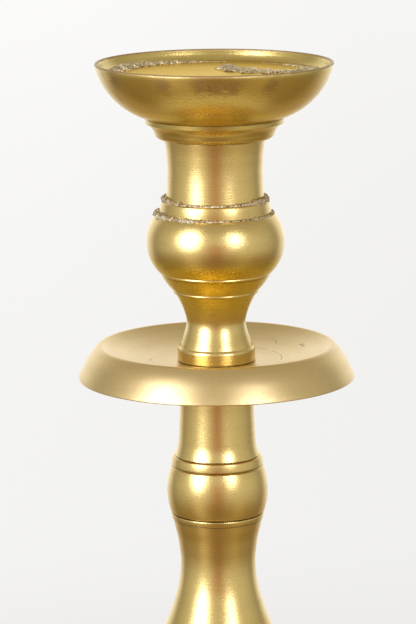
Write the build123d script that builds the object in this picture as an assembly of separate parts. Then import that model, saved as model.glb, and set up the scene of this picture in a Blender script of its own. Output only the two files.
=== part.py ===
"""Altar candlestick: a stack of turned and cast brass sections on one steel tie rod.

Millimetres, +Z up. The origin is on the floor at the middle of the base. Every section is a
body of revolution, so its outline is drawn as (radius, height) and spun round the Z axis.
"""
import os

from build123d import *

os.makedirs("parts", exist_ok=True)

# Overall sizes
HEIGHT = 510.0            # floor to the rim of the candle cup
CUP_R = 54.0              # outside of the cup's rim
PAN_R = 63.3              # outside of the drip pan's skirt
BASE_R = 95.0             # outside of the foot

# Heights of the joints, where one section stands on the next
CUP_SEAT = HEIGHT - 34.4
RING_TOP = HEIGHT - 62.6
GLOBE_TOP = HEIGHT - 68.9
PAN_SEAT = HEIGHT - 136.6
SHAFT_TOP = HEIGHT - 138.4
KNOP_TOP = HEIGHT - 181.2
KNOP_RING_TOP = HEIGHT - 208.2
VASE_TOP = HEIGHT - 211.0
COLLAR_TOP = HEIGHT - 340.0
LOWER_KNOP_TOP = HEIGHT - 350.0
STEM_TOP = HEIGHT - 386.0
DOME_TOP = HEIGHT - 454.0
FELT_T = 2.0              # the base stands on its felt

# Candle cup and its floor
LIP_T = 1.4               # thickness of the rounded rim
CUP_DEPTH = 5.2           # rim to the floor the candle stands on
CUP_FLOOR_R = 44.0
CUP_FLOOR_T = 1.6
PLUG_R = 17.95            # round plug under the cup, which drops into the neck
PLUG_L = 11.0

# Neck, spigots and tie rod
NECK_BORE_R = 18.0
SPIGOT_R = 10.0           # spigot under each section
SOCKET_R = 10.05          # socket in the section below it
SPIGOT_L = 3.0
SOCKET_L = 3.6
ROD_R = 4.0               # M8 tie rod
ROD_HOLE_R = 4.5
WEB_T = 5.0               # web the rod pulls against, in the neck
SHEET_T = 1.8             # spun sheet of the drip pan

# Fasteners
NUT_FLATS = 13.0
NUT_H = 6.5
WASHER_R = 8.0
WASHER_T = 1.6
BASE_WASHER_R = 20.0
BASE_WASHER_T = 3.0
SPRING_R = 7.0
SPRING_T = 2.2
SPRING_GAP = 1.6
ROD_PROUD = 2.5           # rod past each nut
BASE_WEB_T = 9.0

WEB_TOP = RING_TOP + WEB_T
BASE_WEB_Z = DOME_TOP - BASE_WEB_T


def down(drop):
    """Height of a point that lies drop below the rim of the cup."""
    return HEIGHT - drop


def turned(*outline):
    """Spin a closed outline of (radius, height) lines and arcs round the Z axis."""
    return revolve(Plane.XZ * make_face(outline), axis=Axis.Z)


def cored_foot(foot, spigot_end, bore_top):
    """Inner points of a section's foot: in under the foot, round the spigot, up the rod hole."""
    return [(SPIGOT_R, foot), (SPIGOT_R, spigot_end), (ROD_HOLE_R, spigot_end), (ROD_HOLE_R, bore_top)]


def candle_cup():
    """Cast bowl with a stepped foot and a hollow plug, open at the top and bottom."""
    lip_z = HEIGHT - LIP_T / 2
    lip_in = CUP_R - LIP_T
    plug_z = CUP_SEAT - PLUG_L
    ledge_z = HEIGHT - CUP_DEPTH - CUP_FLOOR_T
    return turned(
        ThreePointArc((lip_in, lip_z), (CUP_R - LIP_T / 2, HEIGHT), (CUP_R, lip_z)),
        Line((CUP_R, lip_z), (CUP_R, down(1.3))),
        ThreePointArc((CUP_R, down(1.3)), (46.9, down(14.7)), (32.4, down(24.5))),
        Polyline((32.4, down(24.5)), (31.6, down(25.1)), (31.6, down(27.2))),
        ThreePointArc((31.6, down(27.2)), (28.9, down(29.0)), (27.6, down(31.4))),
        ThreePointArc((27.6, down(31.4)), (26.7, down(33.3)), (24.8, CUP_SEAT)),
        Polyline((24.8, CUP_SEAT), (PLUG_R, CUP_SEAT), (PLUG_R, plug_z + 0.8), (PLUG_R - 0.8, plug_z),
                 (14.5, plug_z), (14.5, down(31.5)), (20.0, down(30.0)), (24.0, down(23.6))),
        ThreePointArc((24.0, down(23.6)), (35.0, down(20.5)), (44.9, down(12.9))),
        Polyline((44.9, down(12.9)), (41.5, down(9.5)), (41.5, ledge_z), (CUP_FLOOR_R, ledge_z),
                 (CUP_FLOOR_R, down(CUP_DEPTH))),
        Spline((CUP_FLOOR_R, down(CUP_DEPTH)), (49.0, down(5.1)), (50.8, down(4.3)), (51.7, down(3.0)),
               (52.2, down(1.8)), (lip_in, lip_z)),
    )


def cup_floor():
    """Sheet disc let into the bowl and soldered round its edge."""
    edge = CUP_FLOOR_R - 0.05
    return Pos(0, 0, HEIGHT - CUP_DEPTH - CUP_FLOOR_T / 2) * Cylinder(edge, CUP_FLOOR_T)


def neck_sleeve():
    """Waisted column with a bore for the cup's plug and a web that the top nut bears on."""
    spigot_end = GLOBE_TOP - SPIGOT_L
    return turned(
        Spline((23.0, CUP_SEAT), (22.2, down(40.8)), (21.75, down(50.0)), (22.3, RING_TOP)),
        Polyline((22.3, RING_TOP), *cored_foot(RING_TOP, spigot_end, WEB_TOP),
                 (NECK_BORE_R, WEB_TOP), (NECK_BORE_R, CUP_SEAT), (23.0, CUP_SEAT)),
    )


def neck_ring():
    """Loose turned band between the neck and the globe, soldered above and below."""
    return turned(
        Polyline((SOCKET_R, RING_TOP), (23.7, RING_TOP)),
        ThreePointArc((23.7, RING_TOP), (24.407, RING_TOP - 0.293), (24.7, RING_TOP - 1.0)),
        Line((24.7, RING_TOP - 1.0), (25.7, GLOBE_TOP + 0.7)),
        ThreePointArc((25.7, GLOBE_TOP + 0.7), (25.495, GLOBE_TOP + 0.205), (25.0, GLOBE_TOP)),
        Polyline((25.0, GLOBE_TOP), (SOCKET_R, GLOBE_TOP), (SOCKET_R, RING_TOP)),
    )


def globe_baluster():
    """Hollow globe with two turned steps, a slender waist and a collar for a foot."""
    socket_z = GLOBE_TOP - SOCKET_L
    core_top = GLOBE_TOP - 6.6
    spigot_end = SHAFT_TOP - SPIGOT_L
    return turned(
        ThreePointArc((27.2, GLOBE_TOP), (31.6, down(81.5)), (26.1, down(95.2))),
        Polyline((26.1, down(95.2)), (24.9, down(95.7)), (24.9, down(96.3))),
        ThreePointArc((24.9, down(96.3)), (22.4, down(100.7)), (19.4, down(104.1))),
        Polyline((19.4, down(104.1)), (19.2, down(104.9)), (18.5, down(105.4))),
        Spline((18.5, down(105.4)), (15.9, down(110.6)), (14.1, down(116.0)), (13.6, down(119.8)),
               (14.0, down(122.9)), (15.1, down(125.9)), (16.3, down(128.6)), (16.9, down(129.9))),
        ThreePointArc((16.9, down(129.9)), (17.6, down(130.9)), (17.8, down(132.4))),
        Polyline((17.8, down(132.4)), (17.8, PAN_SEAT), *cored_foot(PAN_SEAT, spigot_end, down(109.0)),
                 (9.0, down(104.0)), (22.5, down(93.9))),
        ThreePointArc((22.5, down(93.9)), (28.2, down(81.5)), (27.0, core_top)),
        Polyline((27.0, core_top), (7.0, core_top), (7.0, socket_z), (SOCKET_R, socket_z),
                 (SOCKET_R, GLOBE_TOP), (27.2, GLOBE_TOP)),
    )


def drip_pan():
    """Spun sheet: a flat seat, a dish that rises to a crest, and a skirt turned down outside it."""
    edge_z = down(144.6)
    return turned(
        Line((SOCKET_R, PAN_SEAT), (19.5, PAN_SEAT)),
        ThreePointArc((19.5, PAN_SEAT), (37.0, down(134.4)), (51.5, down(129.7))),
        ThreePointArc((51.5, down(129.7)), (53.3, down(129.3)), (54.9, down(130.2))),
        Spline((54.9, down(130.2)), (57.2, down(132.7)), (59.3, down(135.8)), (61.3, down(139.6)),
               (62.6, down(142.4)), (PAN_R, edge_z)),
        Line((PAN_R, edge_z), (PAN_R - SHEET_T, edge_z)),
        ThreePointArc((PAN_R - SHEET_T, edge_z), (57.9, down(137.6)), (53.7, down(131.8))),
        ThreePointArc((53.7, down(131.8)), (52.9, down(131.4)), (52.0, down(131.5))),
        ThreePointArc((52.0, down(131.5)), (37.4, down(136.2)), (19.5, SHAFT_TOP)),
        Polyline((19.5, SHAFT_TOP), (SOCKET_R, SHAFT_TOP), (SOCKET_R, PAN_SEAT)),
    )


def upper_shaft():
    """Hollow column under the pan, with a flange at its head and a slight flare at its foot."""
    spigot_end = KNOP_TOP - SPIGOT_L
    socket_z = SHAFT_TOP - SOCKET_L
    core_r = 13.0
    return turned(
        Line((20.5, SHAFT_TOP), (20.5, down(141.0))),
        ThreePointArc((20.5, down(141.0)), (18.1, down(144.4)), (17.1, down(150.0))),
        Spline((17.1, down(150.0)), (17.1, down(160.0)), (17.6, down(171.0)), (18.1, down(176.5)),
               (19.5, KNOP_TOP)),
        Polyline((19.5, KNOP_TOP), *cored_foot(KNOP_TOP, spigot_end, down(175.0)),
                 (core_r, down(170.0)), (core_r, down(152.0)), (7.0, down(147.0)), (7.0, socket_z),
                 (SOCKET_R, socket_z), (SOCKET_R, SHAFT_TOP), (20.5, SHAFT_TOP)),
    )


def shaft_knop():
    """Barrel-shaped knop with a plain band above it, the two parted by a fine groove."""
    spigot_end = VASE_TOP - SPIGOT_L
    socket_z = KNOP_TOP - SOCKET_L
    return turned(
        Polyline((SOCKET_R, KNOP_TOP), (20.2, KNOP_TOP), (20.7, down(181.8)), (21.2, down(185.2)),
                 (20.8, down(185.8)), (21.5, down(186.4))),
        ThreePointArc((21.5, down(186.4)), (23.3, down(197.2)), (21.7, down(207.4))),
        Polyline((21.7, down(207.4)), (21.0, KNOP_RING_TOP),
                 *cored_foot(KNOP_RING_TOP, spigot_end, down(203.0)),
                 (14.0, down(199.0)), (14.0, down(191.0)), (7.0, down(187.0)), (7.0, socket_z),
                 (SOCKET_R, socket_z), (SOCKET_R, KNOP_TOP)),
    )


def knop_ring():
    """Loose turned ring under the barrel knop."""
    return turned(
        Polyline((SOCKET_R, KNOP_RING_TOP), (21.2, KNOP_RING_TOP), (21.5, down(208.8)),
                 (21.2, down(210.5)), (20.9, VASE_TOP), (SOCKET_R, VASE_TOP), (SOCKET_R, KNOP_RING_TOP)),
    )


def vase_shaft():
    """Hollow section with a concave neck that swells into a pear-shaped belly."""
    spigot_end = LOWER_KNOP_TOP - SPIGOT_L
    socket_z = VASE_TOP - SOCKET_L
    return turned(
        Spline((20.7, VASE_TOP), (19.9, down(214.6)), (18.5, down(220.5)), (17.3, down(231.0)), (18.2, down(241.5)),
               (20.7, down(251.0)), (24.6, down(261.5)), (30.8, down(273.0)), (36.0, down(285.0)),
               (38.0, down(298.0)), (35.6, down(313.0)), (29.6, down(327.0)), (23.0, down(338.0))),
        Polyline((23.0, down(338.0)), (23.0, COLLAR_TOP), *cored_foot(COLLAR_TOP, spigot_end, down(334.0)),
                 (19.0, down(328.0))),
        Spline((19.0, down(328.0)), (31.4, down(312.0)), (34.0, down(298.0)), (26.0, down(271.0)),
               (14.5, down(242.0))),
        Polyline((14.5, down(242.0)), (13.5, down(228.0)), (7.0, down(222.0)), (7.0, socket_z),
                 (SOCKET_R, socket_z), (SOCKET_R, VASE_TOP), (20.7, VASE_TOP)),
    )


def vase_collar():
    """Loose half-round ring under the belly."""
    middle = (COLLAR_TOP + LOWER_KNOP_TOP) / 2
    return turned(
        Line((SOCKET_R, COLLAR_TOP), (24.0, COLLAR_TOP)),
        ThreePointArc((24.0, COLLAR_TOP), (28.0, middle), (24.0, LOWER_KNOP_TOP)),
        Polyline((24.0, LOWER_KNOP_TOP), (SOCKET_R, LOWER_KNOP_TOP), (SOCKET_R, COLLAR_TOP)),
    )


def lower_knop():
    """Flattened round knop between two fillets, with a short neck above it."""
    spigot_end = STEM_TOP - SPIGOT_L
    socket_z = LOWER_KNOP_TOP - SOCKET_L
    return turned(
        Polyline((SOCKET_R, LOWER_KNOP_TOP), (20.5, LOWER_KNOP_TOP), (20.5, down(352.0)),
                 (19.0, down(352.6))),
        ThreePointArc((19.0, down(352.6)), (16.4, down(358.0)), (19.5, down(363.4))),
        Polyline((19.5, down(363.4)), (22.5, down(363.6)), (22.5, down(365.4)), (24.0, down(365.8))),
        ThreePointArc((24.0, down(365.8)), (31.5, down(374.0)), (24.0, down(382.2))),
        Polyline((24.0, down(382.2)), (22.5, down(382.6)), (21.5, STEM_TOP),
                 *cored_foot(STEM_TOP, spigot_end, down(380.0)), (17.0, down(377.0)), (17.0, down(371.0)),
                 (7.0, down(367.0)), (7.0, socket_z), (SOCKET_R, socket_z), (SOCKET_R, LOWER_KNOP_TOP)),
    )


def base_stem():
    """Hollow trumpet that spreads to meet the base."""
    spigot_end = DOME_TOP - SPIGOT_L
    socket_z = STEM_TOP - SOCKET_L
    return turned(
        Polyline((SOCKET_R, STEM_TOP), (19.6, STEM_TOP), (19.6, down(388.0))),
        Spline((19.6, down(388.0)), (17.6, down(396.0)), (19.6, down(414.0)), (28.0, down(434.0)),
               (45.5, down(449.5))),
        Polyline((45.5, down(449.5)), (47.5, down(450.0)), (47.5, DOME_TOP),
                 *cored_foot(DOME_TOP, spigot_end, down(449.0)), (36.0, down(447.5))),
        Spline((36.0, down(447.5)), (23.5, down(434.0)), (14.0, down(408.0))),
        Polyline((14.0, down(408.0)), (7.0, down(400.0)), (7.0, socket_z), (SOCKET_R, socket_z),
                 (SOCKET_R, STEM_TOP)),
    )


def base_dome():
    """Cast round base: a stepped dome with a moulded foot, cored out underneath."""
    foot_z = FELT_T
    socket_z = DOME_TOP - SOCKET_L
    return turned(
        Polyline((SOCKET_R, DOME_TOP), (51.0, DOME_TOP), (51.0, down(457.5)), (53.5, down(458.5))),
        ThreePointArc((53.5, down(458.5)), (73.5, down(469.0)), (84.0, down(489.0))),
        Polyline((84.0, down(489.0)), (87.5, down(490.0)), (87.5, down(492.5))),
        ThreePointArc((87.5, down(492.5)), (93.0, down(495.2)), (BASE_R, down(500.5))),
        Polyline((BASE_R, down(500.5)), (BASE_R, foot_z), (83.0, foot_z), (83.0, down(497.0)),
                 (79.5, down(490.5))),
        ThreePointArc((79.5, down(490.5)), (71.0, down(471.6)), (50.0, BASE_WEB_Z)),
        Polyline((50.0, BASE_WEB_Z), (ROD_HOLE_R, BASE_WEB_Z), (ROD_HOLE_R, socket_z),
                 (SOCKET_R, socket_z), (SOCKET_R, DOME_TOP)),
    )


def base_felt():
    """Felt ring glued under the foot."""
    return Pos(0, 0, FELT_T / 2) * (Cylinder(BASE_R - 1.0, FELT_T) - Cylinder(84.0, FELT_T))


def washer(radius, thickness, top):
    """Flat round washer hanging below the height top."""
    return Pos(0, 0, top - thickness / 2) * (Cylinder(radius, thickness) - Cylinder(ROD_HOLE_R, thickness))


def spring_washer(top):
    """Spring washer: a ring with one sawn gap."""
    gap = Pos(SPRING_R, 0, 0) * Box(2 * SPRING_R, SPRING_GAP, SPRING_T)
    return Pos(0, 0, top - SPRING_T / 2) * (Cylinder(SPRING_R, SPRING_T) - Cylinder(ROD_HOLE_R, SPRING_T) - gap)


def hex_nut(bottom):
    """Hexagon nut standing on the height bottom."""
    blank = extrude(RegularPolygon(NUT_FLATS / 2, 6, major_radius=False), NUT_H)
    return Pos(0, 0, bottom) * (blank - Pos(0, 0, NUT_H / 2) * Cylinder(ROD_R, NUT_H))


def tie_rod(bottom, top):
    """Steel rod, chamfered at both ends, that holds the whole stack together."""
    rod = Cylinder(ROD_R, top - bottom)
    rod = chamfer(rod.edges().filter_by(GeomType.CIRCLE), 0.6)
    return Pos(0, 0, (top + bottom) / 2) * rod


spring_top = BASE_WEB_Z - BASE_WASHER_T
base_nut_top = spring_top - SPRING_T
base_nut_z = base_nut_top - NUT_H
top_nut_z = WEB_TOP + WASHER_T

nodes = {
    "candle_cup": candle_cup(),
    "cup_floor": cup_floor(),
    "neck_sleeve": neck_sleeve(),
    "neck_ring": neck_ring(),
    "globe_baluster": globe_baluster(),
    "drip_pan": drip_pan(),
    "upper_shaft": upper_shaft(),
    "shaft_knop": shaft_knop(),
    "knop_ring": knop_ring(),
    "vase_shaft": vase_shaft(),
    "vase_collar": vase_collar(),
    "lower_knop": lower_knop(),
    "base_stem": base_stem(),
    "base_dome": base_dome(),
    "base_felt": base_felt(),
    "tie_rod": tie_rod(base_nut_z - ROD_PROUD, top_nut_z + NUT_H + ROD_PROUD),
    "top_washer": washer(WASHER_R, WASHER_T, WEB_TOP + WASHER_T),
    "top_nut": hex_nut(top_nut_z),
    "base_washer": washer(BASE_WASHER_R, BASE_WASHER_T, BASE_WEB_Z),
    "spring_washer": spring_washer(spring_top),
    "base_nut": hex_nut(base_nut_z),
}

for name, shape in nodes.items():
    export_step(shape, f"parts/{name}.step")
    print(f"{name:16s} {shape.volume / 1000:8.2f} cm3")
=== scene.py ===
"""Altar candlestick: a stack of turned brass sections on one tie rod, with a lift-out candle cup.

The sections are built from the floor up, in the order they go onto the rod. Outlines are in
millimetres, as (radius, drop below the rim of the cup); meshes are in metres.
"""
import math

import bmesh
import bpy
from mathutils import Matrix, Vector, noise


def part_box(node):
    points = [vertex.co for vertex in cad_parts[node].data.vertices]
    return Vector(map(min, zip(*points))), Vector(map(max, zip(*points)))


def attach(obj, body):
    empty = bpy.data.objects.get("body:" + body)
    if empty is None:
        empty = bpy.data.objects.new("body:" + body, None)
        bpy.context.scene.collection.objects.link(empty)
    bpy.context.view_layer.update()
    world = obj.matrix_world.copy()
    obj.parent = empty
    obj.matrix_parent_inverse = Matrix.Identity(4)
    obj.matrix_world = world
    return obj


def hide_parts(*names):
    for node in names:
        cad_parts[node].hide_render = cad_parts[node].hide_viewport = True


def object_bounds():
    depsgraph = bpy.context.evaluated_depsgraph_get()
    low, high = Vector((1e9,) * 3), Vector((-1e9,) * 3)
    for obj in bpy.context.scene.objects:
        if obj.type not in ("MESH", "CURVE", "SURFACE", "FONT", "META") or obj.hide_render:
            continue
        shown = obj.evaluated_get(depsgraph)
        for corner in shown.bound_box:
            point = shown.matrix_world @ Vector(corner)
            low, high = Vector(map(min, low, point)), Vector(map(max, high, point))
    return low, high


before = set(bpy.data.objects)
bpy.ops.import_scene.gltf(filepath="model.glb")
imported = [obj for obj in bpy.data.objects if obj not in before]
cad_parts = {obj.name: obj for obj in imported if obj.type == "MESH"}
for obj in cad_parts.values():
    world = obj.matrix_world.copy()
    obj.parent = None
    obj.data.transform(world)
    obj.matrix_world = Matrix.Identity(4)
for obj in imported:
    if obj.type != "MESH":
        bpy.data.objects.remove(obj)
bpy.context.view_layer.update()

# Base felt -----------------------------------------------------------------------------------
# A ring of green baize glued under the foot, so that the brass doesn't mark the altar.
# Cut with a knife, so its edges are square and slightly furred.

MM = 0.001
RIM_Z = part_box("candle_cup")[1].z
SHARP = math.radians(26)
SAME_POINT = 1e-6


def placed(mesh, outline):
    """A vertex for each radius and drop of an outline."""
    return [mesh.verts.new((r * MM, 0, RIM_Z - drop * MM)) for r, drop in outline]


def turned(name, outline, steps=192, arris=0.2):
    """Spin a closed outline, break its sharp edges by arris millimetres, and smooth it."""
    mesh = bmesh.new()
    points = placed(mesh, outline)
    edges = [mesh.edges.new(pair) for pair in zip(points, points[1:] + points[:1])]
    bmesh.ops.spin(mesh, geom=points + edges, axis=(0, 0, 1), cent=(0, 0, 0), angle=math.tau,
                   steps=steps, use_merge=True)
    bmesh.ops.remove_doubles(mesh, verts=mesh.verts, dist=SAME_POINT)
    bmesh.ops.recalc_face_normals(mesh, faces=mesh.faces)
    if arris:
        corners = [e for e in mesh.edges if e.calc_face_angle(0) > SHARP]
        bmesh.ops.bevel(mesh, geom=corners, offset=arris * MM, offset_type="OFFSET", segments=2,
                        profile=0.5, affect="EDGES", clamp_overlap=True, material=-1)
    return finished(name, mesh)


def finished(name, mesh, auto_sharp=math.radians(40)):
    """Turn a bmesh into a smooth-shaded object at the origin."""
    data = bpy.data.meshes.new(name)
    mesh.to_mesh(data)
    mesh.free()
    data.shade_smooth()
    data.set_sharp_from_angle(angle=auto_sharp)
    piece = bpy.data.objects.new(name, data)
    bpy.context.scene.collection.objects.link(piece)
    return piece


def put(tree, kind, inputs=None, **settings):
    """Add a node, set its properties, and fill or join its inputs."""
    made = tree.nodes.new("ShaderNode" + kind)
    for key, value in settings.items():
        setattr(made, key, value)
    for key, value in (inputs or {}).items():
        if isinstance(value, bpy.types.NodeSocket):
            tree.links.new(value, made.inputs[key])
        else:
            made.inputs[key].default_value = value
    return made


def maths(tree, operation, *values):
    """A Math node's result."""
    return put(tree, "Math", dict(enumerate(values)), operation=operation).outputs[0]


def ramp(tree, value, low, high):
    """0 below low and 1 above high, with a smooth rise between them."""
    inputs = {"Value": value, "From Min": low, "From Max": high}
    return put(tree, "MapRange", inputs, interpolation_type="SMOOTHSTEP").outputs[0]


def blend_colour(tree, share, first, second):
    """Mix two colours; share 0 gives the first."""
    return put(tree, "Mix", {0: share, 6: first, 7: second}, data_type="RGBA").outputs[2]


def new_material(name):
    """An empty node material with its output, its Principled shader and its tree."""
    material = bpy.data.materials.new(name)
    material.use_nodes = True
    tree = material.node_tree
    tree.nodes.clear()
    shader = put(tree, "BsdfPrincipled")
    output = put(tree, "OutputMaterial", {"Surface": shader.outputs[0]})
    return material, tree, shader, output


def dress(piece, material, body, slot, *nodes):
    """Give a piece its material, its body and the CAD nodes it stands for; its slot is not used."""
    piece.data.materials.clear()
    piece.data.materials.append(material)
    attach(piece, body)
    if nodes:
        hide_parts(*nodes)


def baize_green():
    """Pressed wool: dark green, matt, with a short nap."""
    material, tree, shader, _ = new_material("baize_green")
    place = put(tree, "TexCoord").outputs["Object"]
    nap = put(tree, "TexNoise", {"Vector": place, "Scale": 900, "Detail": 3}).outputs[0]
    patches = put(tree, "TexNoise", {"Vector": place, "Scale": 60, "Detail": 2}).outputs[0]
    shade = maths(tree, "MULTIPLY_ADD", nap, 0.5, maths(tree, "MULTIPLY", patches, 0.5))
    colour = blend_colour(tree, shade, (0.008, 0.028, 0.014, 1), (0.03, 0.10, 0.05, 1))
    tree.links.new(colour, shader.inputs["Base Color"])
    shader.inputs["Roughness"].default_value = 0.95
    shader.inputs["Sheen Weight"].default_value = 0.5
    bump = put(tree, "Bump", {"Height": nap, "Strength": 0.6, "Distance": 0.0003})
    tree.links.new(bump.outputs[0], shader.inputs["Normal"])
    return material


FELT_THICK = 2.0
FELT_INNER_R, FELT_OUTER_R = 84.2, 93.8
floor_drop = (RIM_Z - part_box("base_felt")[0].z) / MM
felt_top = floor_drop - FELT_THICK
felt_outline = [
    (FELT_INNER_R, felt_top), (FELT_OUTER_R, felt_top),
    (FELT_OUTER_R, floor_drop), (FELT_INNER_R, floor_drop),
]
felt = turned("base_felt_ring", felt_outline, arris=0.3)
dress(felt, baize_green(), "stem", "felt", "base_felt")

# Base dome -----------------------------------------------------------------------------------
# A round sand casting, cored out underneath and turned bright outside: a stepped seat for the
# stem, a full dome, a fillet and a moulded foot. The washer and nut bear on the web inside it.


def arc(start, middle, end, count=10):
    """Points on the circle through three points, from start to end."""
    (ax, ay), (bx, by), (cx, cy) = start, middle, end
    d = 2 * (ax * (by - cy) + bx * (cy - ay) + cx * (ay - by))
    a2, b2, c2 = ax * ax + ay * ay, bx * bx + by * by, cx * cx + cy * cy
    x = (a2 * (by - cy) + b2 * (cy - ay) + c2 * (ay - by)) / d
    y = (a2 * (cx - bx) + b2 * (ax - cx) + c2 * (bx - ax)) / d
    first = math.atan2(ay - y, ax - x)
    through = (math.atan2(by - y, bx - x) - first) % math.tau
    sweep = (math.atan2(cy - y, cx - x) - first) % math.tau
    if through > sweep:
        sweep -= math.tau
    size = math.hypot(ax - x, ay - y)
    angles = [first + sweep * i / count for i in range(count + 1)]
    return [(x + size * math.cos(a), y + size * math.sin(a)) for a in angles]


def flow(points, count=8):
    """A smooth curve through all the points, count steps from each to the next."""
    ends = [points[0], *points, points[-1]]
    curve = []
    for before, here, there, after in zip(ends, ends[1:], ends[2:], ends[3:]):
        for i in range(count):
            t = i / count
            weights = (-t + 2 * t * t - t ** 3, 2 - 5 * t * t + 3 * t ** 3,
                       t + 4 * t * t - 3 * t ** 3, -t * t + t ** 3)
            near = (before, here, there, after)
            curve.append(tuple(sum(w * p[k] for w, p in zip(weights, near)) / 2 for k in (0, 1)))
    return curve + [points[-1]]


def marks_group():
    """Turning marks: fine rings round the Z axis, on walls and faces, that wander a little."""
    tree = bpy.data.node_groups.new("turning_marks", "ShaderNodeTree")
    tree.interface.new_socket("Rings per metre", in_out="INPUT", socket_type="NodeSocketFloat")
    tree.interface.new_socket("Height", in_out="OUTPUT", socket_type="NodeSocketFloat")
    tree.interface.new_socket("Tone", in_out="OUTPUT", socket_type="NodeSocketFloat")
    given = tree.nodes.new("NodeGroupInput").outputs
    made = tree.nodes.new("NodeGroupOutput").inputs
    place = put(tree, "SeparateXYZ", {0: put(tree, "TexCoord").outputs["Object"]}).outputs
    square = maths(tree, "ADD", maths(tree, "MULTIPLY", place[0], place[0]),
                   maths(tree, "MULTIPLY", place[1], place[1]))
    radius = maths(tree, "MULTIPLY", maths(tree, "SQRT", square), given[0])
    level = maths(tree, "MULTIPLY", place[2], given[0])
    along = maths(tree, "MULTIPLY", maths(tree, "ADD", place[0], place[1]), 25)
    spot = put(tree, "CombineXYZ", {0: radius, 1: level, 2: along}).outputs[0]
    fine = put(tree, "TexNoise", {"Vector": spot, "Scale": 1.0, "Detail": 4, "Roughness": 0.65})
    wide = put(tree, "TexNoise", {"Vector": spot, "Scale": 0.12, "Detail": 2})
    tree.links.new(fine.outputs[0], made["Height"])
    tree.links.new(wide.outputs[0], made["Tone"])
    return tree


def cloud_group():
    """Tarnish: soft brown clouds, broken up by finer specks."""
    tree = bpy.data.node_groups.new("tarnish_cloud", "ShaderNodeTree")
    for name in ("Size", "Cover"):
        tree.interface.new_socket(name, in_out="INPUT", socket_type="NodeSocketFloat")
    for name in ("Mask", "Specks", "Grain"):
        tree.interface.new_socket(name, in_out="OUTPUT", socket_type="NodeSocketFloat")
    given = tree.nodes.new("NodeGroupInput").outputs
    made = tree.nodes.new("NodeGroupOutput").inputs
    place = put(tree, "TexCoord").outputs["Object"]
    broad = put(tree, "TexNoise", {"Vector": place, "Scale": given["Size"], "Detail": 5,
                                   "Roughness": 0.62, "Distortion": 0.4}).outputs[0]
    least = maths(tree, "SUBTRACT", 0.78, maths(tree, "MULTIPLY", given["Cover"], 0.5))
    mask = ramp(tree, broad, least, maths(tree, "ADD", least, 0.22))
    tiny = put(tree, "TexNoise", {"Vector": place, "Scale": 620, "Detail": 3, "Roughness": 0.7})
    tree.links.new(mask, made["Mask"])
    tree.links.new(ramp(tree, tiny.outputs[0], 0.60, 0.74), made["Specks"])
    grain = put(tree, "TexNoise", {"Vector": place, "Scale": 2300, "Detail": 2, "Roughness": 0.6})
    tree.links.new(grain.outputs[0], made["Grain"])
    return tree


def seam_group():
    """Grime and painted shade in a joint: 1 at one height, fading to 0 a short way above and below
    it.
    """
    tree = bpy.data.node_groups.new("seam_grime_and_shade", "ShaderNodeTree")
    for name in ("Level", "Reach"):
        tree.interface.new_socket(name, in_out="INPUT", socket_type="NodeSocketFloat")
    tree.interface.new_socket("Mask", in_out="OUTPUT", socket_type="NodeSocketFloat")
    given = tree.nodes.new("NodeGroupInput").outputs
    made = tree.nodes.new("NodeGroupOutput").inputs
    place = put(tree, "TexCoord").outputs["Object"]
    height = put(tree, "SeparateXYZ", {0: place}).outputs[2]
    ragged = put(tree, "TexNoise", {"Vector": place, "Scale": 240, "Detail": 3}).outputs[0]
    reach = maths(tree, "MULTIPLY", given["Reach"], maths(tree, "MULTIPLY", ragged, 2.0))
    away = maths(tree, "ABSOLUTE", maths(tree, "SUBTRACT", height, given["Level"]))
    fade = ramp(tree, maths(tree, "DIVIDE", away, reach), 0.25, 1.0)
    tree.links.new(maths(tree, "SUBTRACT", 1.0, fade), made["Mask"])
    return tree


def spot_group():
    """A stain round one point, ragged and speckled towards its edge."""
    tree = bpy.data.node_groups.new("stain_spot", "ShaderNodeTree")
    for name in ("X", "Y", "Z", "Size"):
        tree.interface.new_socket(name, in_out="INPUT", socket_type="NodeSocketFloat")
    tree.interface.new_socket("Mask", in_out="OUTPUT", socket_type="NodeSocketFloat")
    given = tree.nodes.new("NodeGroupInput").outputs
    made = tree.nodes.new("NodeGroupOutput").inputs
    place = put(tree, "TexCoord").outputs["Object"]
    centre = put(tree, "CombineXYZ", {0: given["X"], 1: given["Y"], 2: given["Z"]}).outputs[0]
    away = put(tree, "VectorMath", {0: place, 1: centre}, operation="DISTANCE").outputs["Value"]
    outward = ramp(tree, maths(tree, "DIVIDE", away, given["Size"]), 0.0, 1.0)
    inside = maths(tree, "SUBTRACT", 1.0, outward)
    drawn = put(tree, "VectorMath", {0: place, 1: (0.55, 0.55, 1.4)}, operation="MULTIPLY")
    ragged = put(tree, "TexNoise", {"Vector": drawn.outputs[0], "Scale": 520, "Detail": 6,
                                    "Roughness": 0.8}).outputs[0]
    frayed = maths(tree, "MULTIPLY", maths(tree, "SUBTRACT", ragged, 0.5), 3.2)
    mixed = maths(tree, "ADD", inside, frayed)
    tree.links.new(maths(tree, "MULTIPLY", ramp(tree, mixed, 0.35, 0.85), inside), made["Mask"])
    return tree


def grouped(tree, group, *values):
    """A group node with its inputs set in order."""
    made = tree.nodes.new("ShaderNodeGroup")
    made.node_tree = group
    for socket, value in zip(made.inputs, values):
        socket.default_value = value
    return made


MARKS, CLOUDS, SEAMS, SPOTS = marks_group(), cloud_group(), seam_group(), spot_group()
# Shares of the darkening at seams, which is grime and painted shade together, and at stains.
SEAM_DARK_SHARE, SPOT_SHARE = 0.62, 0.6
BRIGHT = (0.83, 0.62, 0.215, 1)
BROWN = (0.26, 0.15, 0.05, 1)
# The colour that seams darken to: grime, and painted shade in the joint.
SEAM_DIRT_AND_SHADE = (0.09, 0.055, 0.024, 1)
# A yellow painted onto faces that look down, as a painted warm reflection.
PAINTED_WARM_REFLECTION = (0.88, 0.69, 0.13, 1)


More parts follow.
